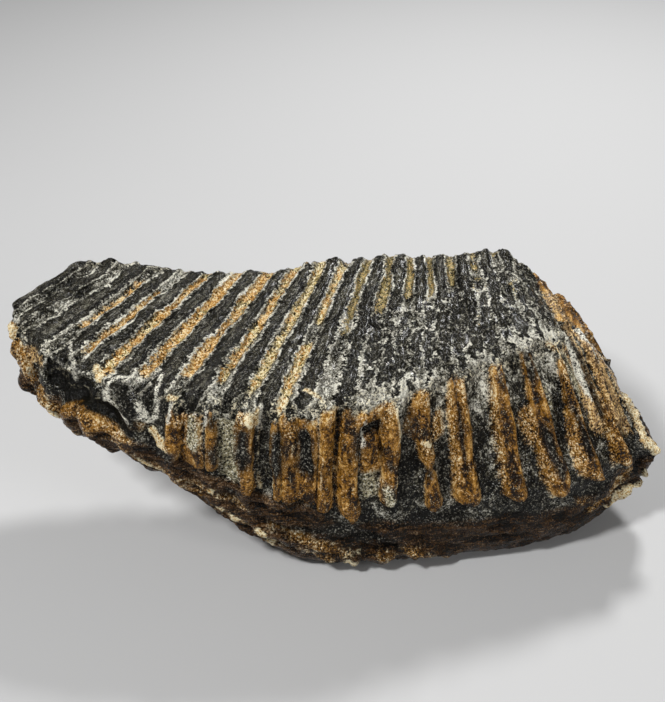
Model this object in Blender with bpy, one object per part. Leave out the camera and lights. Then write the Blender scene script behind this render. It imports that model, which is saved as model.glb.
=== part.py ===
"""A mammoth's fossil cheek tooth, lying on its broken roots: one solid.

The tooth is a stack of about twenty upright plates with bands of tooth cement between them. The plates fan out
like the pages of a half-open book, so the whole tooth curves. It is drawn as one closed skin: a sphere's net
whose rings follow the bands and plates, and whose meridians run along the tooth.
Every size is in millimetres in the tooth's own frame: +X along the tooth, +Y to its back, +Z up.
"""

import bmesh
import bpy
import numpy as np

MM = 0.001

# Where each band of cement crosses the crown's middle line, from just past the thin end to the thick one.
BAND_X = (-148, -131, -118, -98, -84, -71, -55, -41, -29, -17, -6, 6, 18, 29, 39, 50, 63, 76, 87, 96, 103, 109)
MIDDLE_Y = 10
# On the crown the bands aim at one point behind the tooth.
FAN_X, FAN_Y = 55, 224
# Down the sides, the bands to the right of LEAN_X spread from a point above the tooth.
LEAN_X, LEAN_Z = 18, 292
CROWN_Z = 87

# The chewing surface is a plane that rises towards the back.
CROWN_RISE = 0.14
CROWN_AT_MIDDLE = 93.6

# Cross-sections, each in the plane of one band: the band's number, the crown's front and back edges, how far
# the crown has dropped below the chewing plane, the front belly and its height, the front of the base and its
# height, the back of the base, and the back belly.
SECTIONS = (
    # band crown_f crown_b drop belly_f belly_z base_f base_z base_b belly_b
    (0.5, 19, 42, 0, 17, 85, 19, 74, 37, 43),
    (1.0, 8, 43, 0, 6, 84, 8, 70, 37, 44),
    (2.0, -4, 44, 0, -7, 81, -3, 65, 35, 45),
    (4.0, -25, 40, 0, -29, 71, -21, 51, 31, 43),
    (6.0, -39, 38, 0, -44, 64, -33, 44, 27, 43),
    (8.0, -43, 43, 0, -48, 54, -40, 20, 29, 48),
    (10.0, -45, 50, 0, -51, 46, -45, 0, 31, 54),
    (12.0, -43, 53, 0, -52, 42, -48, 0, 33, 57),
    (14.0, -33, 51, 0, -50, 40, -43, 0, 33, 57),
    (16.0, -15, 54, 0, -47, 40, -38, 0, 31, 57),
    (17.0, -9, 56, 0, -43, 40, -30, 2, 29, 56),
    (18.0, -2, 56, 0, -37, 42, -20, 10, 27, 56),
    (19.0, -4, 45, 5, -29, 45, -14, 18, 22, 47),
    (20.0, -6, 32, 14, -19, 47, -7, 28, 18, 34),
)
STATION, CROWN_F, CROWN_B, DROP, BELLY_F, BELLY_Z, BASE_F, BASE_Z, BASE_B, BELLY_B = np.array(SECTIONS).T
# How far round the section each corner comes, starting from the crown's back edge.
CORNERS = (0.0, 0.34, 0.5, 0.64, 0.8, 0.9, 1.0)

# How far the corners are eased: in bands along the tooth, and in turns round it.
BAND_EASE = 1.0
CORNER_EASE = 0.022
EASE_STEPS = 5

RINGS = 120
RING_POINTS = 40
# Each end is a low dome of CAP_RINGS rings, this many bands deep.
CAP_RINGS = 5
THIN_END_DOME, THICK_END_DOME = 0.3, 1.0

# Cement bands stand out as ribs on the sides, and the plates between them as low ridges on the crown.
RIB_HEIGHT = 1.7
CROWN_RIDGE = 0.5
RIBS_END_Z, RIBS_FULL_Z = 22, 44

# Puts the origin under the middle of the tooth.
SHIFT_X, SHIFT_Y = 1.3, -2.6


def along(band, values):
    """One column of SECTIONS at any band number, with its corners eased."""
    steps = np.linspace(-BAND_EASE, BAND_EASE, EASE_STEPS)
    return np.mean([np.interp(band + step, STATION, values) for step in steps])


def section_corners(band):
    """The corners (y, z) of the section at this band number, from the crown's back edge round the front."""
    crown_f, crown_b, drop = (along(band, column) for column in (CROWN_F, CROWN_B, DROP))
    belly_z, base_z = along(band, BELLY_Z), along(band, BASE_Z)
    front_z, back_z = (
        CROWN_AT_MIDDLE + CROWN_RISE * (edge - MIDDLE_Y) - drop for edge in (crown_f, crown_b)
    )
    return np.array((
        (crown_b, back_z),
        (crown_f, front_z),
        (along(band, BELLY_F), belly_z),
        (along(band, BASE_F), base_z),
        (along(band, BASE_B), base_z),
        (along(band, BELLY_B), belly_z),
        (crown_b, back_z),
    ))


def on_section(corners, turn):
    """(y, z) at this share of a turn round the section, with its corners eased."""
    shares = (turn + np.linspace(-CORNER_EASE, CORNER_EASE, EASE_STEPS)) % 1.0
    return np.array([np.interp(shares, CORNERS, corners[:, axis]).mean() for axis in (0, 1)])


def relief(band, turn, z):
    """How far a point stands out of the section: ribs on the sides, low ridges on the crown."""
    wave = np.cos(2 * np.pi * band)
    if turn < CORNERS[1]:
        return -CROWN_RIDGE * wave
    if CORNERS[3] < turn < CORNERS[4]:
        return 0.0
    return RIB_HEIGHT * wave * np.clip((z - RIBS_END_Z) / (RIBS_FULL_Z - RIBS_END_Z), 0, 1)


def band_x(band, y, z):
    """The x at which the surface of this band passes the point (y, z)."""
    middle = np.interp(band, np.arange(len(BAND_X)), BAND_X)
    crown_x = FAN_X + (middle - FAN_X) * (FAN_Y - y) / (FAN_Y - MIDDLE_Y)
    if crown_x <= LEAN_X:
        return crown_x
    return LEAN_X + (crown_x - LEAN_X) * (LEAN_Z - z) / (LEAN_Z - CROWN_Z)


def ring(index):
    """(band number, share of the full section) of a ring, counted from the thin end's pole."""
    inner = np.clip((index - CAP_RINGS) / (RINGS - 2 * CAP_RINGS), 0, 1)
    band = STATION[0] + (STATION[-1] - STATION[0]) * inner
    in_cap = 0.5 * np.pi * min(index, RINGS - index, CAP_RINGS) / CAP_RINGS
    dome = -THIN_END_DOME if index < CAP_RINGS else THICK_END_DOME
    return band + dome * np.cos(in_cap), np.sin(in_cap)


def shape_ring(index, vertices):
    """Moves one ring of the sphere's net to its section of the tooth."""
    band, share = ring(index)
    corners = section_corners(band)
    centre = corners[:-1].mean(axis=0)
    for vertex, turn in vertices:
        place = on_section(corners, turn)
        outward = (place - centre) / np.linalg.norm(place - centre)
        place = place + outward * relief(band, turn, place[1])
        y, z = centre + (place - centre) * share
        z = max(z, 0.0)
        vertex.co = ((band_x(band, y, z) + SHIFT_X) * MM, (y + SHIFT_Y) * MM, z * MM)


def tooth_mesh():
    """The closed net of the tooth, with its poles at the two ends."""
    net = bmesh.new()
    bmesh.ops.create_uvsphere(net, u_segments=RING_POINTS, v_segments=RINGS, radius=1.0)
    rings = [[] for _ in range(RINGS + 1)]
    for vertex in net.verts:
        x, y, z = vertex.co
        turn = np.arctan2(y, x) / (2 * np.pi) % 1.0
        rings[round(RINGS * np.arccos(np.clip(-z, -1, 1)) / np.pi)].append((vertex, turn))
    for index, vertices in enumerate(rings):
        shape_ring(index, vertices)
    mesh = bpy.data.meshes.new("mammoth_tooth")
    net.to_mesh(mesh)
    net.free()
    mesh.shade_smooth()
    return mesh


def fossil_material():
    """Dark brown fossil tooth, polished by a coat of varnish."""
    material = bpy.data.materials.new("fossil_tooth")
    material.use_nodes = True
    shader = material.node_tree.nodes["Principled BSDF"]
    shader.inputs["Base Color"].default_value = (0.10, 0.06, 0.03, 1.0)
    shader.inputs["Roughness"].default_value = 0.35
    shader.inputs["Metallic"].default_value = 0.0
    return material


for existing in list(bpy.data.objects):
    bpy.data.objects.remove(existing)

tooth = bpy.data.objects.new("mammoth_tooth", tooth_mesh())
tooth.data.materials.append(fossil_material())
bpy.context.scene.collection.objects.link(tooth)
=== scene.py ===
"""A fossil mammoth tooth: the looks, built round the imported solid."""

import math

import bmesh
import bpy
import numpy as np
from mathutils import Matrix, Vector, noise


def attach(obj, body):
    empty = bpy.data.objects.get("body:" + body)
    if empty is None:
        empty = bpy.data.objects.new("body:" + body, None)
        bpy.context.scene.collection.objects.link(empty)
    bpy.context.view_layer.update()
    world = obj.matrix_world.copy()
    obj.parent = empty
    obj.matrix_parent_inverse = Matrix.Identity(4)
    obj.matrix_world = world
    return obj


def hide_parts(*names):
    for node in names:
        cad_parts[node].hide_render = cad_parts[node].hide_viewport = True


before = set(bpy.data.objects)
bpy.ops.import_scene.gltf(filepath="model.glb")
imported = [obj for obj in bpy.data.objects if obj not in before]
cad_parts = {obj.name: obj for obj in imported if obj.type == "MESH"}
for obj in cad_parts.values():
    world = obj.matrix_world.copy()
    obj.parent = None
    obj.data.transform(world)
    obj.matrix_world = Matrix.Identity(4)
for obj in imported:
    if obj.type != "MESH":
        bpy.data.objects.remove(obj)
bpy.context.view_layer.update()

# ---- The tooth's body ----------------------------------------------------------------------------------
# A last molar, ground flat by a lifetime of chewing and turned to stone. Its skin is the solid's own net,
# merged and rounded, which the fine ridges, ribs, chips and ledges below are then raised from.

MM = 0.001
MERGE = 0.001 * MM
FLATTEST_QUAD, SQUAREST_QUAD = math.radians(60), math.radians(100)
ROUNDINGS = 2

net = bmesh.new()
net.from_mesh(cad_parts["mammoth_tooth"].data)
bmesh.ops.remove_doubles(net, verts=net.verts, dist=MERGE)
bmesh.ops.join_triangles(
    net, faces=net.faces, angle_face_threshold=FLATTEST_QUAD, angle_shape_threshold=SQUAREST_QUAD
)
net_mesh = bpy.data.meshes.new("tooth_net")
net.to_mesh(net_mesh)
net.free()
net_object = bpy.data.objects.new("tooth_net", net_mesh)
bpy.context.scene.collection.objects.link(net_object)
rounding = net_object.modifiers.new("rounding", "SUBSURF")
rounding.levels = rounding.render_levels = ROUNDINGS
evaluated = net_object.evaluated_get(bpy.context.evaluated_depsgraph_get())
tooth_mesh = bpy.data.meshes.new_from_object(evaluated)
bpy.data.objects.remove(net_object)


def vertex_vectors(mesh, owner, key):
    """One vector per vertex of a mesh, as an array."""
    found = np.empty(3 * len(mesh.vertices), np.float32)
    getattr(mesh, owner).foreach_get(key, found)
    return found.reshape(-1, 3).astype(float)


skin = vertex_vectors(tooth_mesh, "vertices", "co") / MM
facing = vertex_vectors(tooth_mesh, "vertex_normals", "vector")

# ---- Where each point lies in the tooth ----------------------------------------------------------------
# A mammoth's molar is a row of upright plates glued with cement, fanned and leaned as the jaw pushed them
# out. Bands of cement have whole numbers, and the plate after band 4 lies at 4.5. Sizes are in millimetres.

# Where each band crosses the crown's middle line.
BAND_X = (
    -148, -131, -118, -98, -84, -71, -55, -41, -29, -17, -6,
    6, 18, 29, 39, 50, 63, 76, 87, 96, 103, 109,
)
LAST_BAND = len(BAND_X) - 1
MIDDLE_Y = 10
# The bands fan out from a point behind the tooth, and those beyond LEAN_X also from one above it.
FAN_X, FAN_Y = 55, 224
LEAN_X, LEAN_Z = 18, 292
# The chewing surface rises towards the back, and lies at CROWN_AT_MIDDLE over the middle line.
CROWN_Z, CROWN_RISE, CROWN_AT_MIDDLE = 87, 0.14, 93.6
# How far the solid was moved to put its origin under its middle.
SHIFT_X, SHIFT_Y = 1.3, -2.6
# Along the crown's middle the bands are this far apart.
PITCH = 12

across = skin[:, 1] - SHIFT_Y
height = skin[:, 2]
along = skin[:, 0] - SHIFT_X
unleaned = LEAN_X + (along - LEAN_X) * (LEAN_Z - CROWN_Z) / (LEAN_Z - height)
along = np.where(along > LEAN_X, unleaned, along)
middle_x = FAN_X + (along - FAN_X) * (FAN_Y - MIDDLE_Y) / (FAN_Y - across)
band = np.interp(middle_x, BAND_X, np.arange(len(BAND_X)))
depth = CROWN_AT_MIDDLE + CROWN_RISE * (across - MIDDLE_Y) - height


def smooth(start, end, values):
    """0 before start and 1 past end, with an eased step between; start may be the larger."""
    share = np.clip((values - start) / (end - start), 0, 1)
    return share * share * (3 - 2 * share)


def grain(points, size, octaves=3):
    """Natural unevenness, about -1 to 1, whose lumps have this size in millimetres."""
    places = (points / np.array(size)).tolist()
    return np.array([noise.fractal(place, 1.0, 2.0, octaves) for place in places])


def rail(values, inside, pick):
    """The extreme of some values at each band, taken from the points inside a mask."""
    reach = 0.4
    stations = np.arange(reach, LAST_BAND, reach)
    found = [pick(values[inside & (abs(band - station) < reach)], initial=0) for station in stations]
    eased = np.convolve(np.pad(found, 1, "edge"), (0.25, 0.5, 0.25), "valid")
    return np.interp(band, stations, eased)


# The chewing surface is this near its own plane and faces this far up. Its outermost points are its rims.
CHEWED_DEPTH, CHEWED_FACING = 3, 0.6
# A height over every point, because a rail looks for the lowest values below zero.
ABOVE_ALL = 200

upward = (depth < CHEWED_DEPTH) & (facing[:, 2] > CHEWED_FACING)
from_front = across - rail(across, upward, np.min)
from_back = rail(across, upward, np.max) - across
above_base = height - rail(height - ABOVE_ALL, height < ABOVE_ALL, np.min) - ABOVE_ALL
front = across < MIDDLE_Y

# Growth lines follow the plates, and spread as they run down the sides.
SPREAD_DEPTH = 40
BROAD_MM, MEDIUM_MM, FINE_MM = 22, 7, 2.6

grown = np.stack((band * PITCH, (across - MIDDLE_Y) * (1 + depth / SPREAD_DEPTH), 0 * band), axis=1)
broad, medium, fine = (grain(skin, size) for size in (BROAD_MM, MEDIUM_MM, FINE_MM))

# ---- The chewing surface -------------------------------------------------------------------------------
# Each plate is a loop of hard enamel filled with dark dentine, which wears slower than the rest and stands
# up as a ridge. At the thick end, chewed least, the loops are still strings of small rings.

# Half of a plate's width, as a share of the pitch, and how thick its enamel is.
PLATE_HALF, ENAMEL_MM = 0.23, 1.6
# Each plate stops at its own distance from the front rim, in a rounded tip this long.
TIP_LENGTH = 5
RING_LENGTH = 11
# Each row of rings is set off from the last by this share of a ring, so that bridges never line up.
ROW_SHIFT = 0.618

# Plates are fresh where they are hardly chewed, and frosty, which is paler, near the front rim there.
fresh = smooth(10.4, 12.2, band) * smooth(60, 44, from_front)
wavy = band + 0.06 * broad + 0.07 * medium + fresh * 0.2 * grain(skin, 8, 2)
from_plate = abs(wavy % 1.0 - 0.5)
luck = np.floor(wavy) * 0.37 % 1.0
to_tip = from_front - np.maximum(depth - 1, 0) + 7 - 8 * luck
lobe = np.sqrt(np.clip(to_tip / TIP_LENGTH, 0, 1))
plate_width = PLATE_HALF * (1 + 0.5 * grain(grown, (9, 20, 9), 2))
worn_edge = (from_plate - plate_width * lobe) * PITCH

row = np.round(2 * wavy)
to_wall = (0.5 - abs(2 * wavy - row)) * PITCH / 2
ring_place = from_front / RING_LENGTH + row * ROW_SHIFT + 0.7 * medium
to_bridge = abs(ring_place % 1.0 - 0.5) * RING_LENGTH
to_ring = (to_wall ** -3 + (to_bridge + 0.01) ** -3) ** (-1 / 3)
frosty = fresh * smooth(14, 2, from_front) * smooth(22, 6, depth)
ring_edge = 0.8 + 0.9 * grain(skin, 14, 2) + 1.4 * frosty - to_ring
plate_edge = worn_edge + fresh * (ring_edge - worn_edge)

ridge = np.exp(-((plate_edge - 0.5 * ENAMEL_MM) / 0.8) ** 2) * (0.9 + 0.6 * fine)
cement = smooth(ENAMEL_MM - 0.3, ENAMEL_MM + 1, plate_edge)
lines = grain(grown, (1.5, 14, 9), 2)
chewed = 0.5 * ridge + 0.6 * smooth(0.5, -2, plate_edge) - 1.0 * cement + 0.3 * lines
chewed += (0.15 + 0.35 * cement) * fine

FRONT_RIM_MM, BACK_RIM_MM = 1.2, 1.7
# How much further the back rim stands up, as pairs of a band and a share of BACK_RIM_MM.
PROUD = (
    (0, 1.2), (2.6, 1.2), (3.4, 0.5), (7.6, 0.5), (8.1, 1.5), (9.8, 1.5),
    (10, -0.3), (10.4, 1), (18, 1), (20, 0.5),
)
rim_front = np.exp(-((from_front / 5) ** 2)) * smooth(9, 2, depth)
rim_back = np.exp(-((from_back / 4) ** 2)) * smooth(8, 2, depth)
lobed = smooth(0.36, 0.2, from_plate) - 0.45 + 0.5 * medium
rims = FRONT_RIM_MM * rim_front * lobed + BACK_RIM_MM * rim_back * (lobed + np.interp(band, *zip(*PROUD)))

# ---- The ribbed flanks ---------------------------------------------------------------------------------
# Down the sides the cement between the plates stands out as glossy ribs, with grainy grooves where the
# plates lie. The ribs end in rounded tongues. Each line below runs down one rib or stain of the front side,
# as the band number, the depth under the chewing surface and half the width.

# The bands have spread this far apart down the sides.
FLANK_PITCH = 16
# Points that a line may not reach are put this far off.
FAR_OFF = -99.0


def strokes(where, *lines):
    """How far inside the nearest of some tapering lines each point lies, in millimetres."""
    across_line, down_line = where
    inside = np.full(len(skin), FAR_OFF)
    for line in lines:
        for (band_a, down_a, half_a), (band_b, down_b, half_b) in zip(line, line[1:]):
            u, v = (across_line - band_a) * FLANK_PITCH, down_line - down_a
            run_u, run_v = (band_b - band_a) * FLANK_PITCH, down_b - down_a
            share = np.clip((u * run_u + v * run_v) / (run_u * run_u + run_v * run_v), 0, 1)
            gap = np.hypot(u - share * run_u, v - share * run_v)
            inside = np.maximum(inside, half_a + (half_b - half_a) * share - gap)
    return inside


on_flank = front & ((from_front < 5) | (depth > 3))
down_flank = np.where(on_flank, band + 0.02 * medium, FAR_OFF), depth + 0.8 * medium

rib_edge = strokes(
    down_flank,
    ((7.15, 3, 2), (7.15, 8, 3.5), (7.15, 18, 3.5), (7.1, 28, 2.5)),
    ((7.6, 4, 4), (7.65, 26, 5)),
    ((8.15, 5, 2), (8.2, 28, 2.5)),
    ((8.95, 2, 3), (9.0, 8, 4.5), (9.0, 20, 4.5), (9.1, 38, 4)),
    ((9.85, 10, 2.5), (9.95, 40, 3.5)),
    ((10.2, 6, 3.5), (10.3, 30, 3), (10.3, 42, 4)),
    ((10.6, 3, 4), (10.7, 14, 4.8), (10.7, 40, 5)),
    ((11.2, 3, 3), (11.2, 20, 2.8), (11.2, 46, 3.6)),
    ((11.75, 8, 4.4), (11.74, 25, 4.8), (11.78, 40, 5), (11.85, 48, 5.4), (11.88, 52, 3)),
    ((12.6, 4, 4), (12.8, 12, 4.8), (12.9, 25, 4.4), (12.85, 42, 4.4)),
    ((11.8, 8, 3), (12.3, 7, 3.2), (12.6, 6, 4)),
    ((12.3, 17, 3.8), (12.4, 28, 3.8)),
    ((13.85, 2, 1), (13.7, 6, 4.5), (13.6, 14, 6), (13.75, 20, 3.4), (13.88, 27, 4.2), (13.9, 31, 2)),
    ((13.95, 35, 3.8), (14.0, 46, 4.2)),
    ((14.95, -1, 1), (14.78, 5, 4.2), (14.76, 15, 4.8), (14.8, 30, 4.4), (14.8, 44, 5.4)),
    ((16.0, -3, 1), (15.9, 5, 3.4), (15.86, 20, 3.8), (15.84, 38, 3.8), (15.82, 45, 4.2)),
    ((16.85, 0, 2.5), (16.82, 10, 3.4), (16.76, 25, 4.4), (16.8, 40, 5), (16.72, 48, 3)),
    ((17.85, 9, 2), (17.78, 20, 3.2), (17.68, 30, 4), (17.65, 40, 5), (17.75, 45, 3.4)),
    ((18.5, 14, 1.2), (18.5, 30, 3)),
    ((18.9, 22, 3), (18.8, 42, 4.6)),
    ((19.5, 10, 3), (19.4, 30, 3.5)),
    (
        (4.35, 16, 3.4), (4.8, 14, 5), (5.2, 16.5, 3.8), (5.7, 21, 2.6), (6.1, 24, 2.4),
        (6.4, 34, 2), (7.0, 43, 1.6),
    ),
    ((4.15, 16, 3), (4.2, 22, 3.4), (4.6, 23, 3.4), (5.1, 22, 2.6)),
    ((2.3, 8, 2), (2.35, 18, 2.6), (3.0, 22, 2.4), (3.8, 27, 1.8)),
)
# How deep the far side's ribs end, and how deep the roots begin, as pairs of a band and a depth.
RIB_ENDS = ((0, 10), (6, 14), (8, 36), (10, 44), (12, 50), (14, 48), (18, 44), (21, 40))
ROOT_TOPS = (
    (0, 16), (6, 20), (7, 26), (8, 32), (9, 40), (10, 46), (11, 49), (11.5, 57), (17, 60),
    (18.5, 50), (21, 44),
)

# The far side and the thin end have one plain rib to a band.
far_half = 4 * (1 + 0.3 * grain(grown, (9, 16, 9), 2)) * np.clip(0.25 + depth / 14, 0, 1)
far_end = np.interp(band, *zip(*RIB_ENDS)) + 3 * broad
far_rib = np.minimum(far_half - (0.5 - from_plate) * PITCH, (far_end - depth) * 0.6)
drawn = front & (band > 2)
rib_edge = np.where(drawn, rib_edge, far_rib)

# Plates reach down over the front rim, each by its own luck, and the rim is torn away at the thin end.
overhang = 5 * luck * smooth(0.42, 0.3, from_plate) * smooth(5, 6, band) * smooth(13, 12, band)
on_crown = np.where(depth < 6, band - 0.03 * medium, FAR_OFF), from_front
torn_edge = strokes(
    on_crown,
    ((1.2, 0, 1.5), (2.4, 0, 3), (2.9, 0, 2.2), (3.5, 0, 2.9), (4.4, 0, 3.6), (5.0, 0, 5.4), (5.25, 0, 4)),
    ((5.6, 0, 4.4), (5.9, 0, 3), (6.25, 0, 2.4), (6.6, 0, 3), (6.9, 0, 2)),
)
torn = smooth(-0.8, 0.8, torn_edge)
flank = np.maximum(smooth(1, 5, depth - overhang), torn)
root_edge = depth - np.interp(band, *zip(*ROOT_TOPS)) - 2 * broad
rooted = smooth(-1, 3, root_edge)
rib = smooth(-0.6, 1.8, rib_edge)

# Shallow gutters down the middle of some ribs.
gutter_edge = strokes(
    down_flank,
    ((9.0, 12, 2), (9.0, 25, 2)),
    ((10.65, 15, 2.5), (10.7, 30, 2.5)),
    ((11.78, 20, 0.5), (11.8, 42, 0.6)),
    ((14.72, 2, 0.7), (14.76, 20, 1.1), (14.78, 38, 0.9)),
    ((15.98, 0, 0.6), (15.9, 12, 1.4), (15.86, 25, 1.9), (15.84, 38, 1.6)),
    ((16.82, 5, 1.3), (16.78, 18, 1.6), (16.76, 28, 2.2), (16.8, 40, 2)),
    ((17.8, 18, 1), (17.72, 36, 1.5)),
)
gutter_edge = np.where(drawn, gutter_edge, 0.9 + 0.6 * medium - (0.5 - from_plate) * PITCH)
streaks = grain(grown, (1.8, 16, 9))
ribs = rib * (3.0 + 0.4 * streaks - 1.2 * smooth(-0.8, 1, gutter_edge)) - 1.3 + (0.5 - 0.3 * rib) * fine

# ---- The root base -------------------------------------------------------------------------------------
# Under the ribs the tooth is broken through its roots, which grew in thin layers. They broke away step by
# step, in glossy brown ledges that end in pale, flaky lips.

LEDGE_SIZE = (34, 34, 5)

layered = np.stack((skin[:, 0], skin[:, 1], above_base + 1.5 * broad), axis=1)
ledges = 0.6 - 2 * abs(grain(layered, LEDGE_SIZE))
shelf_edge = strokes(
    down_flank,
    ((9.2, 64, 2), (10.2, 67, 3.5), (11.2, 73, 4), (11.9, 77, 3)),
    ((12.3, 76, 2.5), (12.8, 78, 3)),
    ((13.2, 72, 3), (13.8, 76, 4), (14.2, 79, 2)),
)
shelf = smooth(-1.5, 1.5, shelf_edge)
root = rooted * (2.2 * ledges + 0.4 * fine) + 2.4 * shelf * (1 + 0.4 * medium)

# ---- Stains, crusts and chips --------------------------------------------------------------------------
# The ground coloured the tooth unevenly, and some of its skin has flaked away or broken out since. Lines on
# the chewing surface go by the distance from the front rim, and those on the thick end's slope by the
# place across the tooth.

on_slope = np.where((band > 18) & (height > 70), band, FAR_OFF), across

# Tan and amber cement, and one painted highlight on top of the amber lump at the thin end.
tan_edge = strokes(
    down_flank,
    ((13.85, 3, 2), (13.8, 7, 1.5)),
    ((14.2, 13, 2), (14.2, 18, 2.5)),
    ((13.85, 21, 2.2), (13.9, 25, 2)),
    ((14.95, 0, 1.2), (14.92, 12, 0.9)),
    ((14.55, 8, 0.7), (14.6, 28, 0.7), (14.62, 40, 0.7)),
    ((15.7, 8, 0.8), (15.62, 25, 0.9), (15.62, 40, 0.8)),
    ((16.42, 22, 3.2), (16.5, 27, 2.8)),
    ((16.6, 28, 1), (16.58, 42, 1.1)),
    ((16.75, 1, 2.2), (16.8, 2, 1.8)),
    ((17.72, 2, 2), (17.8, 3, 1.6)),
    ((17.98, 9, 1.6), (17.88, 15, 1.4), (17.7, 28, 1.2)),
    ((17.55, 31, 1.6), (17.5, 38, 1.8), (17.65, 44, 2.2)),
    ((18.9, 30, 3), (18.9, 38, 4), (18.6, 44, 2)),
    ((12.75, 3, 3), (12.8, 8, 1.5)),
    ((10.2, 8, 1.6), (10.28, 13, 1.8)),
    ((8.8, 4, 2), (9.1, 6, 2.5)),
    ((7.3, 3, 3.5), (7.3, 8, 3)),
    ((9.6, 60, 1.0), (10.0, 60, 1.2), (10.8, 67, 1.5), (11.7, 73, 1.4)),
    ((9.4, 70, 0.8), (10.4, 71, 1.0), (11.3, 77, 1.2)),
    ((7.4, 52, 0.8), (8.4, 59, 1), (9.2, 66, 1)),
    ((7.1, 40, 0.6), (8.3, 48, 0.8), (9.0, 52, 0.6)),
    ((12.7, 76, 1.2), (13.0, 77, 1)),
    ((13.3, 72, 1.4), (13.8, 77, 1.6), (14.2, 80, 1)),
    # A painted highlight on top of the amber lump.
    ((4.7, 11, 2.2), (5.0, 14.5, 2.6)),
    ((6.15, 13.6, 1.6), (6.3, 14.2, 1.4)),
    ((4.3, 17, 1.4), (4.6, 20, 1.6)),
    ((4.4, 19, 0.8), (5.0, 20, 0.9)),
    ((5.3, 15.5, 0.9), (5.7, 18, 1), (6.1, 20.5, 0.9)),
    ((2.1, 4, 3), (2.3, 14, 3), (2.7, 20, 2.8), (3.2, 23, 2.6), (3.7, 26, 2.2), (4.0, 29, 1.6)),
    ((5.4, 24, 1), (5.9, 28, 1), (6.3, 36, 1), (6.7, 40, 0.8), (7.2, 46, 0.8), (7.6, 50, 0.8)),
    ((17.4, 66, 1.5), (18.0, 62, 2), (18.6, 56, 2), (19.0, 50, 2)),
    ((17.2, 54, 2), (17.2, 58, 2.2)),
)
tan_edge = np.maximum(tan_edge, strokes(
    on_slope,
    ((19.2, 35, 3), (19.6, 31, 4), (20.0, 25, 3)),
    ((20.3, 23, 4), (20.3, 10, 5), (20.2, -1, 4)),
))

# Cream flakes of bare enamel and bone.
cream_edge = strokes(
    down_flank,
    ((9.1, 5, 1.4), (9.15, 7, 1.4)),
    ((9.3, 4, 1.1), (9.35, 9, 0.8)),
    ((6.55, 15.5, 1.6), (6.62, 17, 2.2), (6.85, 20, 2.8)),
    ((10.27, 16, -0.1), (10.27, 28, -0.2), (10.33, 36, 0.2)),
    ((11.1, 20, -0.2), (11.1, 36, 0.1)),
    ((13.0, 6, 0.6), (13.08, 14, 0.7), (13.12, 17, 1)),
    ((9.4, 12, 0.1), (9.4, 28, -0.1), (9.45, 40, 0.5)),
    ((9.68, 20, -0.1), (9.72, 30, 0.2), (9.72, 38, 0.6)),
    ((12.7, 33, 0.7), (12.72, 34, 0.7)),
    ((13.08, 32, 0.6), (13.1, 36, 0.6)),
    ((13.8, 20.5, 1.1), (13.9, 20.5, 1.2)),
    ((11.72, 77, 1.3), (12.02, 79, 1.5)),
    ((9.8, 72, 0.4), (10.6, 75, 0.4), (11.4, 78, 0.7)),
    ((12.74, 81, 0.8), (12.84, 80, 1.1)),
    ((14.0, 81, 0.4), (14.15, 80.5, 0.7)),
    ((8.05, 42, 1.2), (8.15, 42.5, 1)),
    ((8.05, 54, 1), (8.2, 55, 1)),
    ((9.25, 62.5, 1.4), (9.45, 64.5, 1.5)),
    ((9.6, 70, 1), (9.7, 71, 0.8)),
    ((7.88, 44, 1.4), (8.02, 45, 1.2)),
    ((8.45, 58.5, 1), (8.6, 60, 1)),
    ((9.45, 71.5, 1.4), (9.6, 73, 1.1)),
    ((9.5, 66, 0.3), (10.2, 68, 0.5)),
    ((6.6, 45, 0.5), (6.9, 49, 0.7)),
    ((10.4, 74.5, 0.5), (10.9, 75.5, 0.8)),
    ((11.7, 73.5, 0.4), (12.1, 74, 0.5)),
    ((6.1, 30, 0.6), (6.3, 36, 0.8), (6.6, 42, 0.6)),
    ((0.9, 2, 2.4), (1.2, 8, 3), (1.6, 11, 1.8)),
    ((2.4, 23, 1.5), (2.9, 27, 1.5), (3.4, 30, 1.4), (3.9, 33, 1.2)),
    ((17.98, 4, 0.9), (18.02, 8, 0.8)),
    ((16.55, 51, 0.8), (16.8, 50.5, 0.6)),
)
cream_edge = np.maximum(cream_edge, strokes(
    on_crown,
    ((4.75, 9, 1.4), (4.95, 7.4, 1.6), (5.1, 5, 1)),
    ((6.9, 3, 1.2), (7.1, 3, 1)),
    ((9.93, 0.5, 1.4), (9.97, 3.6, 2.3)),
    ((10.35, 8.6, 0.2), (10.6, 7, 0.8), (10.9, 5, 0.6), (11.0, 3, 0)),
))

# Thick cream flakes that stand up at the thick end.
flake_edge = strokes(
    down_flank,
    ((20.5, 29, 1.5), (20.75, 34, 3), (20.6, 38, 3)),
    ((20.3, 41, 3), (20.3, 45, 3.6), (20.2, 48, 2)),
    ((19.72, 59, 2), (19.6, 63, 2.6)),
    ((19.1, 65, 3), (18.7, 66, 3.4), (18.2, 67, 3), (17.85, 68, 1.6)),
)
cream_edge = np.maximum(cream_edge, flake_edge)
cream_edge = np.maximum(cream_edge, strokes(on_slope, ((19.3, 26, 0.8), (19.4, 22, 1), (19.4, 17, 0.8))))

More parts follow.
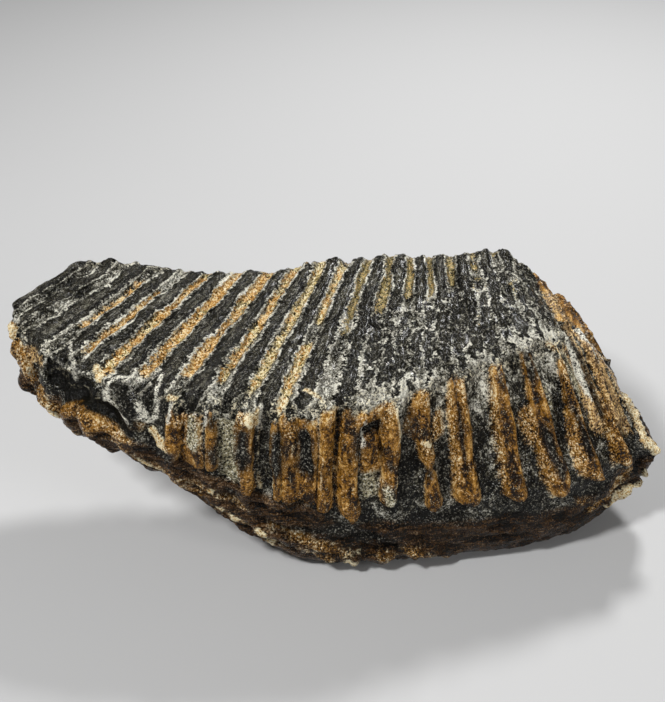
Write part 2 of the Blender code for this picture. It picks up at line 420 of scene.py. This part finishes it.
# White edges, where enamel shows in a break.
white_edge = strokes(
    down_flank,
    (
        (6.22, 4, 1.1), (6.29, 7, 1.4), (6.38, 10.5, 1.2), (6.45, 12, 0.9), (6.6, 9.5, 0.8),
        (6.66, 6, 0.8), (6.62, 3, 0.6),
    ),
    ((5.36, 3, 0.8), (5.39, 6.5, 1), (5.58, 8.8, 0.8), (5.78, 10.4, 0.7), (6.04, 12.5, 0.5)),
    ((18.56, 8, 1.2), (18.5, 15, 2), (18.5, 22, 1.2)),
    ((7.05, 2, 0.8), (7.02, 8, 0.6)),
    ((7.98, 3, 1.2), (8.0, 9, 0.7)),
    ((9.38, 3, 1.2), (9.42, 12, 0.6)),
    ((12.1, 8, 0.5), (12.1, 18, 0.4)),
)
white_edge = np.maximum(white_edge, strokes(
    on_crown,
    ((3.45, 10, 0.5), (3.85, 7, 0.7), (4.3, 3, 0.8)),
    ((2.75, 3, 0), (3.3, 3.6, 0.1), (4.2, 4.4, -0.1), (4.9, 6, 0.2)),
    ((5.38, 1, 0.6), (5.38, 5, 0.7), (5.5, 7.4, 0.6), (5.9, 9.4, 0.6), (6.3, 11, 0.5)),
    ((6.4, 12, 0.5), (6.55, 6, 0.6), (6.6, 1, 0.5)),
))
white_edge = np.maximum(white_edge, strokes(
    on_slope,
    ((19.45, 9, 1.4), (19.6, 0, 1.8), (19.6, -4, 1.2)),
    ((18.56, 9, 0.9), (18.56, -4, 1.2)),
))

# Pale weathered cement round the two ends.
pale_edge = strokes(
    down_flank,
    ((18.3, 8, 3.2), (18.45, 18, 3), (18.4, 24, 2)),
    ((18.95, 8, 3), (18.7, 18, 3.2), (18.5, 30, 3)),
    ((19.6, 10, 4), (19.6, 20, 5), (19.5, 32, 5)),
    ((20.3, 14, 4), (20.4, 24, 4), (20.2, 40, 3)),
    ((1.6, 3, 4), (2.1, 6, 4), (2.7, 5, 3)),
)
pale_edge = np.maximum(pale_edge, strokes(
    on_slope,
    ((18.95, 27, 3.4), (19.1, 18, 5), (19.3, 9, 4)),
    ((20.0, 12, 2), (19.9, 2, 2)),
))

# Olive crusts in the grooves.
olive_edge = strokes(
    down_flank,
    ((7.65, 9, 3), (7.68, 17, 3.5)),
    ((8.5, 4, 3.5), (8.6, 12, 4), (8.58, 24, 4), (8.65, 33, 4)),
    ((12.35, 32, 2.4), (12.4, 40, 2.8)),
    ((12.8, 36, 1.2), (12.95, 44, 2.2)),
    ((17.1, 14, 1.2), (17.15, 20, 1)),
    ((18.2, 8, 1.8), (18.25, 17, 1.8)),
)

# Black stains and holes.
black_edge = strokes(
    down_flank,
    ((9.0, 11, 2), (9.0, 26, 2)),
    ((4.5, 19, 1.2), (4.9, 19, 0.9)),
    ((2.62, 8, 0.8), (2.5, 14, 1), (2.75, 24, 1.4)),
    ((9.5, 3, 1.2), (9.5, 10, 1.4), (9.58, 17, 1.2)),
    ((9.95, 12, 2.5), (9.95, 28, 2.8)),
    ((10.65, 14, 3.5), (10.7, 28, 3.5)),
    ((10.7, 4, 1.8), (10.7, 6, 1.8)),
    ((11.8, 2, 2.4), (11.8, 4, 2.2)),
    ((12.15, 11.5, 1.6), (12.5, 11.5, 1.8)),
    ((11.98, 14, 1.2), (12.0, 21, 1.6)),
    ((12.85, 27, 1.3), (12.95, 28, 1.3)),
    ((13.85, 32.5, 1.5), (13.95, 32.5, 1.5)),
    ((14.78, 12, 0.5), (14.78, 30, 0.5)),
    ((16.85, 4, 2), (16.85, 9, 1.5)),
    ((14.3, 22, 1), (14.35, 42, 1.4)),
    ((13.3, 8, 1), (13.28, 24, 1.4), (13.35, 44, 1)),
    ((16.76, 26, 1.6), (16.85, 40, 1.2)),
    ((17.75, 22, 1), (17.8, 36, 1.3)),
    ((15.6, 52, 3.5), (16.3, 51, 3.5)),
    ((17.1, 52, 3), (17.6, 55, 3.2), (18.2, 50, 2.5)),
    ((14.2, 56, 2.5), (14.5, 57, 3.2)),
    ((18.12, 4, 1.6), (18.1, 7, 1.2)),
    ((18.75, 8, 1.6), (18.72, 16, 1.2), (18.65, 28, 1.2)),
    ((19.3, 34, 1.4), (19.6, 44, 1.4)),
    ((7.0, 24, 3), (6.6, 25, 3)),
    ((8.5, 43, 1.8), (8.7, 43, 1.8)),
    ((9.6, 59, 1.6), (10.6, 62, 2), (11.6, 60, 3.4), (12.3, 64, 3.2), (12.9, 67, 1.6)),
    ((8.15, 6, 1.5), (8.15, 9, 1.5)),
    ((8.15, 20, 1.6), (8.2, 24, 1.6)),
    ((5.7, 3, 2.6), (5.85, 5, 3), (5.98, 9, 2.8), (6.2, 15, 2)),
    ((6.42, 0, 1.6), (6.42, 4, 1.5), (6.44, 8, 1.2)),
    ((6.82, 1, 1.3), (6.8, 8, 1.3)),
    ((6.5, 15, 2), (6.55, 20, 1.6)),
)
black_edge = np.maximum(black_edge, strokes(
    on_slope,
    ((18.5, 30, 1.6), (18.6, 16, 1.4)),
    ((18.9, 8, 1.8), (18.88, 0, 2), (18.9, -6, 2)),
    ((19.95, 14, 1.2), (19.9, -2, 1.6)),
))

# Pits in the front rim, where the ends of plates broke out.
pit_edge = strokes(
    on_crown,
    ((5.7, 0, 1.6), (5.75, 4, 2)),
    ((5.95, 1.5, 2), (6.05, 4.5, 1.6)),
    ((6.45, 0, 1), (6.35, 5, 1)),
    ((7.62, 1.5, 1.4), (7.62, 5.4, 2)),
    ((8.46, 1.5, 1.6), (8.44, 5.6, 2.1)),
    ((9.5, 0, 0.8), (9.5, 5, 0.9)),
    ((6.05, 5, 2), (6.15, 10, 1.8)),
)
pit_edge = np.maximum(pit_edge, strokes(
    down_flank,
    ((5.75, 5, 2.2), (5.95, 9, 2)),
    ((6.0, 4, 1.8), (6.12, 8, 1.8)),
    ((6.47, 2, 1.3), (6.47, 8, 0.9)),
    ((6.82, 2, 0.9), (6.8, 9, 0.9)),
))

# A dark polished hollow under the thin end's rim.
hollow_edge = strokes(
    down_flank,
    (
        (3.3, 2, 4), (3.5, 8, 5), (3.9, 11, 4), (4.4, 7, 4.5), (4.9, 6, 4.4), (5.2, 9, 2.6),
        (5.7, 13.5, 2.3), (6.1, 17, 1.4),
    ),
    ((3.3, 2, 4), (3.6, 6, 4), (4.4, 3, 4.5), (4.9, 5, 4.4)),
)

# Ochre bands of cement across the chewing surface, and mossy ones where it is least worn.
ochre_edge = strokes(
    on_crown,
    ((3.0, 20, 0.9), (3.05, 46, 1.2)),
    ((5.15, 10, 1.2), (5.3, 4, 1.6)),
    ((4.0, 14, 1.6), (4.0, 26, 1.6), (4.0, 48, 1.8)),
    ((5.0, 9, 1.6), (5.0, 24, 2.0), (5.0, 50, 2.6), (5.05, 74, 2.4)),
    ((6.0, 14, 2.2), (6.0, 35, 2.6), (6.0, 58, 3.6), (6.0, 78, 2.6)),
    ((6.95, 16, 2.0), (7.0, 35, 2.4), (7.0, 60, 3.0), (7.0, 84, 2.8)),
    ((7.95, 14, 2.0), (8.0, 34, 2.2), (8.0, 44, 1.2), (8.0, 60, 2.0), (8.0, 84, 2.6)),
    ((8.95, 10, 1.6), (9.0, 30, 2.6), (9.0, 40, 1.2), (9.0, 55, 2.6), (9.0, 88, 2.6)),
    ((9.95, 8, 1.8), (9.95, 22, 1.6), (10.0, 28, 3.6), (10.0, 34, 2)),
    ((10.0, 50, 1.4), (10.0, 86, 2.8)),
    ((15.85, 24, 1.8), (15.85, 29, 1.6)),
    ((16.6, 24, 1.6), (16.6, 28, 1.4)),
    ((17.2, 32, 2), (17.3, 36, 2)),
)
mossy_edge = strokes(
    on_crown,
    ((11.0, 42, 1.4), (11.0, 60, 3), (11.0, 90, 3)),
    ((12.0, 50, 1.8), (12.0, 64, 3.4), (12.0, 92, 3)),
    ((13.0, 60, 2), (13.0, 74, 3.4), (13.0, 92, 3)),
    ((14.05, 50, 2), (14.1, 62, 3.6), (14.0, 86, 3)),
    ((15.0, 56, 2), (15.0, 84, 2.8)),
    ((16.0, 46, 2.6), (16.1, 50, 2.4)),
    ((16.0, 60, 1.8), (16.0, 80, 2.6)),
    ((17.0, 62, 2), (17.0, 80, 2.4)),
    ((10.4, 14, 2), (10.5, 24, 2.4)),
)

# The far side is mottled: black patches, tan ones between them, olive crusts and cream flakes.
FAR_SIDE_TOP = 80

far_side = ~front & (height < FAR_SIDE_TOP)
patches, crusts, flakes = 8 * grain(skin + 300, 11), 7 * grain(skin + 900, 16), 7 * grain(skin + 600, 5, 2)
black_edge = np.where(far_side, patches - 2.6, black_edge)
tan_edge = np.where(far_side, -2.2 - patches, tan_edge)
olive_edge = np.where(far_side, crusts - 2.8, olive_edge)
cream_edge = np.where(far_side, flakes - 3.6, cream_edge)
ochre_edge += 0.5 + 1.3 * medium + 0.6 * broad
mossy_edge += 1.6 * medium + 1.2 * broad - 0.3

# ---- The raised skin -----------------------------------------------------------------------------------
# All of the relief is the tooth's own: ridges and ribs that wore slowly, ledges where it broke, and marks
# that stand out or are sunk. The skin is pushed out by it, and stays whole and closed.

skin_marks = 0.6 * smooth(-0.5, 1.5, tan_edge) + 0.7 * smooth(-0.3, 0.6, cream_edge)
skin_marks += (0.5 + 0.5 * fine) * smooth(-0.5, 1, olive_edge) - 0.9 * smooth(-0.5, 1.5, black_edge)
skin_marks -= 2.2 * smooth(-2.5, 3, hollow_edge) - 1.6 * smooth(-0.4, 0.6, flake_edge) * (1 + 0.8 * fine)
chewed -= 1.6 * smooth(-1, 1.6, pit_edge)

# Low down, the two ends are a little fuller than the solid and the rest is a little slimmer.
filling_out = 2.6 * smooth(4.4, 3.2, band) * smooth(15, 24, depth)
filling_out -= 1.8 * smooth(4.2, 5, band) * smooth(20, 30, depth)
filling_out += smooth(18.2, 19.6, band) * (3 * smooth(34, 50, depth) - 0.8 * smooth(32, 16, depth))
swell = flank * (ribs * (1 - rooted) + root + skin_marks) + (1 - flank) * chewed + rims * (1 - torn)
swell = (swell + filling_out + 0.45 * medium + 0.6 * broad) * smooth(0.3, 4, height)
skin = skin + facing * swell[:, None]
skin[:, 2] = np.maximum(skin[:, 2], 0)
tooth_mesh.vertices.foreach_set("co", (skin * MM).ravel())
tooth_mesh.update()


def keep(**fields):
    """Stores numbers at the vertices, where the tooth's finish can read them."""
    for name, values in fields.items():
        field = tooth_mesh.attributes.new(name, "FLOAT", "POINT")
        field.data.foreach_set("value", values.astype(np.float32))


keep(plate_edge=plate_edge, fresh=fresh, frosty=frosty, straw=smooth(7, 9.4, band))
keep(rim=np.maximum(rim_front, 0.6 * rim_back) * (1 - torn))
keep(depth=depth, flank=flank, rib_edge=rib_edge, gutter_edge=gutter_edge, root_edge=root_edge)
# Painted light and shade on the root ledges: crests lighter and hollows darker, with random tone and a
# lighter stretch in bands below about 11.
keep(ledge=ledges + 0.5 * broad + 0.9 * smooth(11.5, 9.5, band))
keep(pale_edge=pale_edge, tan_edge=tan_edge, cream_edge=cream_edge, white_edge=white_edge)
keep(olive_edge=olive_edge, black_edge=black_edge, pit_edge=pit_edge, hollow_edge=hollow_edge)
keep(ochre_edge=ochre_edge, mossy_edge=mossy_edge)
growth_field = tooth_mesh.attributes.new("grown", "FLOAT_VECTOR", "POINT")
growth_field.data.foreach_set("vector", grown.astype(np.float32).ravel())

# ---- The finish ----------------------------------------------------------------------------------------
# Stone-hard enamel, dentine and cement, each with its own colours and grain, under clear varnish, which
# gives the wet shine; most of the glitter is painted highlights in the colour. A tone mixes several grains,
# and a ramp turns it into a material's colours.


class Tone:
    """A socket of the finish's node tree. Arithmetic on it adds Math nodes."""

    def __init__(self, socket):
        self.socket = socket

    def math(self, operation, *others):
        return node("ShaderNodeMath", {"operation": operation}, dict(enumerate((self, *others))))

    def __add__(self, other):
        return self.math("ADD", other)

    def __sub__(self, other):
        return self.math("SUBTRACT", other)

    def __mul__(self, other):
        return self.math("MULTIPLY", other)

    def __rsub__(self, other):
        return (self * -1) + other

    __radd__, __rmul__ = __add__, __mul__

    def step(self, start, end):
        """0 before start and 1 past end, eased between; start may be the larger."""
        if start > end:
            return 1 - self.step(end, start)
        settings = {"interpolation_type": "SMOOTHSTEP"}
        return node("ShaderNodeMapRange", settings, {"Value": self, "From Min": start, "From Max": end})

    def mix(self, under, over):
        """Mixes two colours by this tone."""
        return node("ShaderNodeMix", {"data_type": "RGBA"}, {"Factor": self, 6: under, 7: over}, 2)

    def ramp(self, *stops):
        """Colours by this tone, from a few stops, each a position and a colour."""
        return node("ShaderNodeValToRGB", {"stops": stops}, {"Fac": self})


finish = bpy.data.materials.new("fossil_tooth")
finish.use_nodes = True
tree = finish.node_tree


def set_stops(elements, stops):
    """Gives a colour ramp its stops; a new ramp has two."""
    for _ in stops[2:]:
        elements.new(1)
    for element, (position, colour) in zip(elements, stops):
        element.position = position
        element.color = colour


def node(kind, settings, values, output=0):
    """Adds a node, sets it up, joins or fills its inputs and returns one output."""
    made = tree.nodes.new(kind)
    for name, value in settings.items():
        if name == "stops":
            set_stops(made.color_ramp.elements, value)
        else:
            setattr(made, name, value)
    for name, value in values.items():
        if isinstance(value, Tone):
            tree.links.new(value.socket, made.inputs[name])
        else:
            made.inputs[name].default_value = value
    return Tone(made.outputs[output])


def kept(name):
    """A number that was kept at the vertices."""
    return node("ShaderNodeAttribute", {"attribute_name": name}, {}, "Fac")


def stretched(where, *times):
    """A place times a number along each axis."""
    return node("ShaderNodeVectorMath", {"operation": "MULTIPLY"}, {0: where, 1: times})


def speckle(where, per_mm, detail, roughness=0.6):
    """Noise about 0.5, with this many grains to a millimetre."""
    values = {"Vector": where, "Scale": per_mm, "Detail": detail, "Roughness": roughness}
    return node("ShaderNodeTexNoise", {}, values, "Fac")


def rgb(red, green, blue):
    """A colour from its screen values, 0 to 255."""
    return tuple(((value / 255 + 0.055) / 1.055) ** 2.4 for value in (red, green, blue)) + (1.0,)


BLACK, SOOT, IRON = rgb(5, 4, 1), rgb(31, 28, 19), rgb(84, 81, 68)
ASH, BONE, GLINT_WHITE = rgb(153, 150, 138), rgb(234, 230, 214), rgb(226, 226, 218)
UMBER, BARK, AMBER = rgb(24, 13, 3), rgb(66, 42, 11), rgb(124, 84, 24)
HONEY, GOLD, CREAM = rgb(172, 126, 58), rgb(216, 176, 108), rgb(242, 230, 194)
OCHRE, STRAW, OLIVE = rgb(182, 130, 62), rgb(204, 178, 112), rgb(166, 156, 118)
MOSS, PLUM, TAN = rgb(136, 118, 64), rgb(84, 62, 42), rgb(150, 124, 94)

objects = node("ShaderNodeTexCoord", {}, {}, "Object")
place = stretched(objects, 1 / MM, 1 / MM, 1 / MM)
growth = node("ShaderNodeAttribute", {"attribute_name": "grown"}, {}, "Vector")
# Grains are drawn out seven or eight times along the plates, and along the root's layers.
drawn_out = stretched(growth, 1.0, 0.12, 1.0)
layers = stretched(place, 0.14, 0.14, 1.0)

# Pebbles are small rounded cells, and lot is a random number that each of them draws.
PEBBLES_PER_MM = 1.4
pebble = node("ShaderNodeTexVoronoi", {}, {"Vector": place, "Scale": PEBBLES_PER_MM}, "Distance")
lottery = node("ShaderNodeTexVoronoi", {}, {"Vector": place, "Scale": PEBBLES_PER_MM}, "Color")
lot = node("ShaderNodeRGBToBW", {}, {"Color": lottery})
grit = speckle(place, 1.1, 3.0, 0.7)
dust = speckle(place, 1.8, 1.0)
cloud = speckle(place, 0.1, 3.0)
serration = speckle(place, 0.4, 2.0)
streak = speckle(drawn_out, 0.6, 4.0, 0.65)
grainy = lot * 0.34 + grit * 0.5 + dust * 0.5 - 0.17
dimmer = (cloud - 0.5) * 0.45
# Glints are painted highlights: pale specks laid into the colour of the cement and grooves.
painted_glints = (dust + (grit - 0.5) * 0.6 + dimmer).step(0.62, 0.72) * 0.6
# Sparks are painted highlights too: light specks in the dentine, ribs and roots.
painted_sparkle = (dust + (grit - 0.5) * 0.6 + (serration - 0.5) * 0.5).step(0.66, 0.74) * 0.7
# Thin light lines along the plates, partly real striations and partly painted sheen.
streak_lines = ((streak - 0.5).math("ABSOLUTE") + (grit - 0.5) * 0.06).step(0.018, 0.004)
veins_and_sheen = streak_lines * (serration * 0.7 + cloud * 0.3).step(0.5, 0.58)

# On the chewing surface, edge is below 0 in dentine, 0 to about 1 in enamel, and more in cement.
unworn, frost = kept("fresh"), kept("frosty")
edge = kept("plate_edge") + (serration - 0.5) * 3.8 + (grit - 0.5) * 2 + (lot - 0.5) * 0.9
dentine_tone = streak * (0.5 - 0.3 * unworn) + grit * 0.25 + dust * (0.3 + 0.15 * unworn)
dentine_tone = dentine_tone + lot * 0.15 + dimmer * 0.3 + unworn * 0.075 - 0.1
dentine_colour = dentine_tone.ramp((0.42, BLACK), (0.52, SOOT), (0.61, IRON), (0.71, ASH))
# Painted highlights: light specks in the dentine.
dentine_colour = painted_sparkle.mix(dentine_colour, ASH)
# Painted shade: the dentine darkens in the crease beside its enamel ridge.
painted_crease_shade = edge.step(-1.8, -0.7) * edge.step(0.2, -0.3)
# Over the dentine go its light vein lines, partly painted sheen, then the painted shade of the crease.
dentine_colour = (painted_crease_shade * 0.6).mix((veins_and_sheen * 0.8).mix(dentine_colour, ASH), BLACK)
enamel_tone = grainy * 0.7 + streak * 0.3 + dimmer * 1.5 - 0.03 * unworn + 0.06 * frost
enamel_colour = enamel_tone.ramp((0.36, BLACK), (0.43, IRON), (0.5, ASH), (0.61, BONE))
cement_tone = grainy * 0.7 + streak * 0.15 + serration * 0.15 + dimmer * 1.4 + 0.08 * frost
cement_colour = cement_tone.ramp((0.4, BLACK), (0.46, SOOT), (0.52, IRON), (0.61, ASH), (0.72, BONE))
rich_tone = grainy + dimmer * 0.8
rich_colour = rich_tone.ramp((0.34, UMBER), (0.4, AMBER), (0.47, OCHRE), (0.57, GOLD), (0.68, CREAM))
straw_colour = grainy.ramp((0.37, UMBER), (0.43, MOSS), (0.5, STRAW), (0.6, CREAM))
straw_share = (cloud + (serration - 0.5) * 0.4 - 0.14 * kept("straw")).step(0.46, 0.38)
ochre_colour = straw_share.mix(rich_colour, straw_colour)
mossy_colour = grainy.ramp((0.38, SOOT), (0.46, MOSS), (0.56, OLIVE), (0.68, GOLD))


def stained(colour, name, over, ragged, soft=0.9):
    """Lays a stain over a colour, inside the kept field of that name."""
    frayed = (serration - 0.5) * ragged + (grit - 0.5) * (0.7 * ragged) + (lot - 0.5) * (0.4 * ragged)
    share = (kept(name) + frayed).step(-soft, soft)
    return share.mix(colour, over)


# Painted highlights: pale glint specks in the cement.
cement_colour = painted_glints.mix(cement_colour, GLINT_WHITE)
cement_colour = stained(cement_colour, "ochre_edge", ochre_colour, 5)
cement_colour = stained(cement_colour, "mossy_edge", mossy_colour, 9)
crown_colour = edge.step(0.9, 1.3).mix(enamel_colour, cement_colour)
gap = edge.step(1.1, 1.5) * edge.step(2.6, 1.8) * (1 - frost)
crown_colour = (gap * 0.2).mix(crown_colour, BLACK)
crown_colour = edge.step(0.3, -0.3).mix(crown_colour, dentine_colour)

# Down the sides, ribs lie over the grooves and both end in the roots.
rib_tone = streak * 0.65 + cloud * 0.7 + grit * 0.2 + serration * 0.2 + dust * 0.3 + lot * 0.2 - 0.425
# Painted highlight: the ribs are lighter towards their tops, where light from above falls.
rib_tone = rib_tone + 0.05 * kept("depth").step(16, 4)
rib_tone = rib_tone + 0.06 * kept("rib_edge").step(2.2, 0.6) - 0.1 * kept("gutter_edge").step(-0.8, 0.8)
rib_colour = rib_tone.ramp((0.56, UMBER), (0.64, BARK), (0.73, AMBER), (0.84, HONEY), (0.92, GOLD))
# Painted highlights: cream specks on the ribs.
rib_colour = (painted_sparkle * 0.6).mix(rib_colour, CREAM)
groove_tone = grainy * 0.75 + serration * 0.5 - 0.13 + dimmer * 1.6
groove_tone = groove_tone + 0.05 * kept("depth").step(28, 6) + 0.06 * frost
groove_colour = groove_tone.ramp((0.45, BLACK), (0.52, SOOT), (0.6, IRON), (0.7, ASH), (0.82, BONE))
# Painted highlights: pale glint specks in the grooves.
groove_colour = (painted_glints * 0.7).mix(groove_colour, GLINT_WHITE)
root_tone = speckle(layers, 1.0, 4.0, 0.7) * 0.6 + speckle(place, 0.25, 4.0, 0.7) * 0.3
# The ledge field paints highlights on the ledge crests and shade between them, over real tone.
root_tone = root_tone + dust * 0.35 + lot * 0.15 - 0.15 + 0.07 * kept("ledge")
root_colour = root_tone.ramp(
    (0.48, BLACK), (0.55, UMBER), (0.62, BARK), (0.69, PLUM), (0.76, TAN), (0.84, HONEY)
)
# Painted highlights: tan specks on the roots.
root_colour = (painted_sparkle * 0.5).mix(root_colour, TAN)
side_colour = stained(groove_colour, "rib_edge", rib_colour, 2.4, 0.8)
side_colour = stained(side_colour, "root_edge", root_colour, 4, 2)

# Stains of the sides, each over the ones before it.
pale_tone = grainy * 0.65 + streak * 0.4
pale_colour = pale_tone.ramp((0.4, SOOT), (0.46, BARK), (0.52, TAN), (0.6, GOLD), (0.7, CREAM))
tan_tone = grainy * 0.5 + rib_tone * 0.5
tan_colour = tan_tone.ramp((0.5, UMBER), (0.56, BARK), (0.61, AMBER), (0.68, HONEY), (0.78, CREAM))
olive_colour = grainy.ramp((0.34, SOOT), (0.43, IRON), (0.53, OLIVE), (0.68, BONE))
black_colour = grainy.ramp((0.48, BLACK), (0.58, SOOT), (0.7, ASH))
hollow_colour = dentine_tone.ramp((0.5, BLACK), (0.64, SOOT))
side_colour = stained(side_colour, "pale_edge", pale_colour, 5, 1.2)
side_colour = stained(side_colour, "tan_edge", tan_colour, 3, 1.6)
side_colour = stained(side_colour, "olive_edge", olive_colour, 4, 1.4)
side_colour = stained(side_colour, "black_edge", black_colour, 2.4, 2)
side_colour = stained(side_colour, "hollow_edge", hollow_colour, 3, 0.6)
on_side = (kept("flank") + (serration - 0.5) * 1.2 + (grit - 0.5)).step(0.3, 0.7)
colour = on_side.mix(crown_colour, side_colour)

# Ash grey crusts along the rims, then the pits, white edges and cream flakes of the whole tooth.
crusty = (serration * 1.2 + grit * 0.8 - 0.5).step(0.5, 0.62)
rim_share = kept("rim") * crusty * edge.step(-0.6, 0.8).math("MAXIMUM", on_side)
rim_colour = grainy.ramp((0.4, SOOT), (0.48, ASH), (0.58, CREAM))
pit_colour = grainy.ramp((0.46, BLACK), (0.58, SOOT), (0.74, ASH))
white_colour = grainy.ramp((0.36, SOOT), (0.44, ASH), (0.54, BONE))
cream_colour = grainy.ramp((0.34, AMBER), (0.42, GOLD), (0.52, CREAM))
colour = (rim_share * 0.8).mix(colour, rim_colour)
colour = stained(colour, "pit_edge", pit_colour, 1.8, 0.8)
colour = stained(colour, "white_edge", white_colour, 1.4, 0.5)
colour = stained(colour, "cream_edge", cream_colour, 1.4, 0.5)

# Ribs, dentine and the hollow are smoother than the rest.
on_rib = on_side * kept("rib_edge").step(-0.5, 0.5)
on_dentine = (1 - on_side) * edge.step(0.3, -0.3)
in_hollow = kept("hollow_edge").step(-0.5, 0.5)
polished = on_rib.math("MAXIMUM", on_dentine).math("MAXIMUM", in_hollow)
grains = ((1 - pebble) * 0.6 + grit * 0.8) * (1 - 0.6 * polished)
enamel_line = (1 - on_side) * edge.step(-0.5, 0.4) * edge.step(2.2, 1.2)
root_layers = kept("root_edge").step(-2, 2) * speckle(layers, 1.0, 3.0)
bumps = grains + dust * 0.5 + streak * 0.4 + serration * 1.4 + enamel_line * 1.2 + root_layers * 3
bump = node("ShaderNodeBump", {}, {"Strength": 1.0, "Distance": 0.9 * MM, "Height": bumps}, "Normal")
roughness = 0.02 + 0.28 * grit

shader = tree.nodes["Principled BSDF"]
tree.links.new(colour.socket, shader.inputs["Base Color"])
tree.links.new(bump.socket, shader.inputs["Normal"])
tree.links.new(roughness.socket, shader.inputs["Roughness"])
# The varnish is thin and smooth, so the bumped grains under it glitter a little; most glints are painted
# highlights in the colour.
shader.inputs["Specular IOR Level"].default_value = 0.18
shader.inputs["Coat Weight"].default_value = 0.04
shader.inputs["Coat Roughness"].default_value = 0.08
tooth_mesh.materials.clear()
tooth_mesh.materials.append(finish)
tooth_mesh.shade_smooth()

tooth = bpy.data.objects.new("fossil_tooth", tooth_mesh)
bpy.context.scene.collection.objects.link(tooth)
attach(tooth, "root")
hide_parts("mammoth_tooth")

# ---- Floor, light and camera ---------------------------------------------------------------------------
# A plain pale floor of matt board under three soft studio lamps and a dim room, seen from the front and
# from above.

FLOOR_HALF = 3
FLOOR_GREY, ROOM_GREY = (0.5, 0.5, 0.5, 1), (0.1, 0.1, 0.1, 1)

floor_mesh = bpy.data.meshes.new("floor")
floor_net = bmesh.new()
bmesh.ops.create_grid(floor_net, x_segments=1, y_segments=1, size=FLOOR_HALF)
floor_net.to_mesh(floor_mesh)
floor_net.free()
floor_finish = bpy.data.materials.new("floor")
floor_finish.use_nodes = True
board = floor_finish.node_tree.nodes["Principled BSDF"]
board.inputs["Base Color"].default_value = FLOOR_GREY
board.inputs["Roughness"].default_value = 0.8
floor_mesh.materials.append(floor_finish)
floor = bpy.data.objects.new("floor", floor_mesh)
bpy.context.scene.collection.objects.link(floor)


def lamp(name, spot, size, power):
    """A square soft light that faces the tooth."""
    light = bpy.data.lights.new(name, "AREA")
    light.size = size
    light.energy = power
    lit = bpy.data.objects.new(name, light)
    lit.location = spot
    lit.rotation_euler = Vector(spot).to_track_quat("Z", "Y").to_euler()
    bpy.context.scene.collection.objects.link(lit)


lamp("key", (-0.5, -0.5, 0.95), 0.15, 11)
lamp("back", (0.3, 0.7, 0.9), 0.16, 10)
lamp("fill", (0.8, -0.6, 0.5), 0.3, 3)

world = bpy.data.worlds.new("studio")
world.use_nodes = True
world.node_tree.nodes["Background"].inputs["Color"].default_value = ROOM_GREY
bpy.context.scene.world = world
bpy.context.scene.view_settings.view_transform = "Standard"

TARGET = Vector((-0.0007, 0.0354, 0.055))
ELEVATION = math.radians(34)
DISTANCE = 0.5
# The frame is taller than wide, so the sensor's size is laid along its height.
FOCAL_PIXELS, FRAME_HEIGHT, SENSOR = 1100, 702, 36

camera = bpy.data.objects.new("camera", bpy.data.cameras.new("camera"))
camera.data.lens = FOCAL_PIXELS / FRAME_HEIGHT * SENSOR
camera.data.sensor_width = SENSOR
camera.data.clip_start = 0.01
backward = Vector((0, -math.cos(ELEVATION), math.sin(ELEVATION)))
camera.location = TARGET + DISTANCE * backward
camera.rotation_euler = backward.to_track_quat("Z", "Y").to_euler()
bpy.context.scene.collection.objects.link(camera)
bpy.context.scene.camera = camera
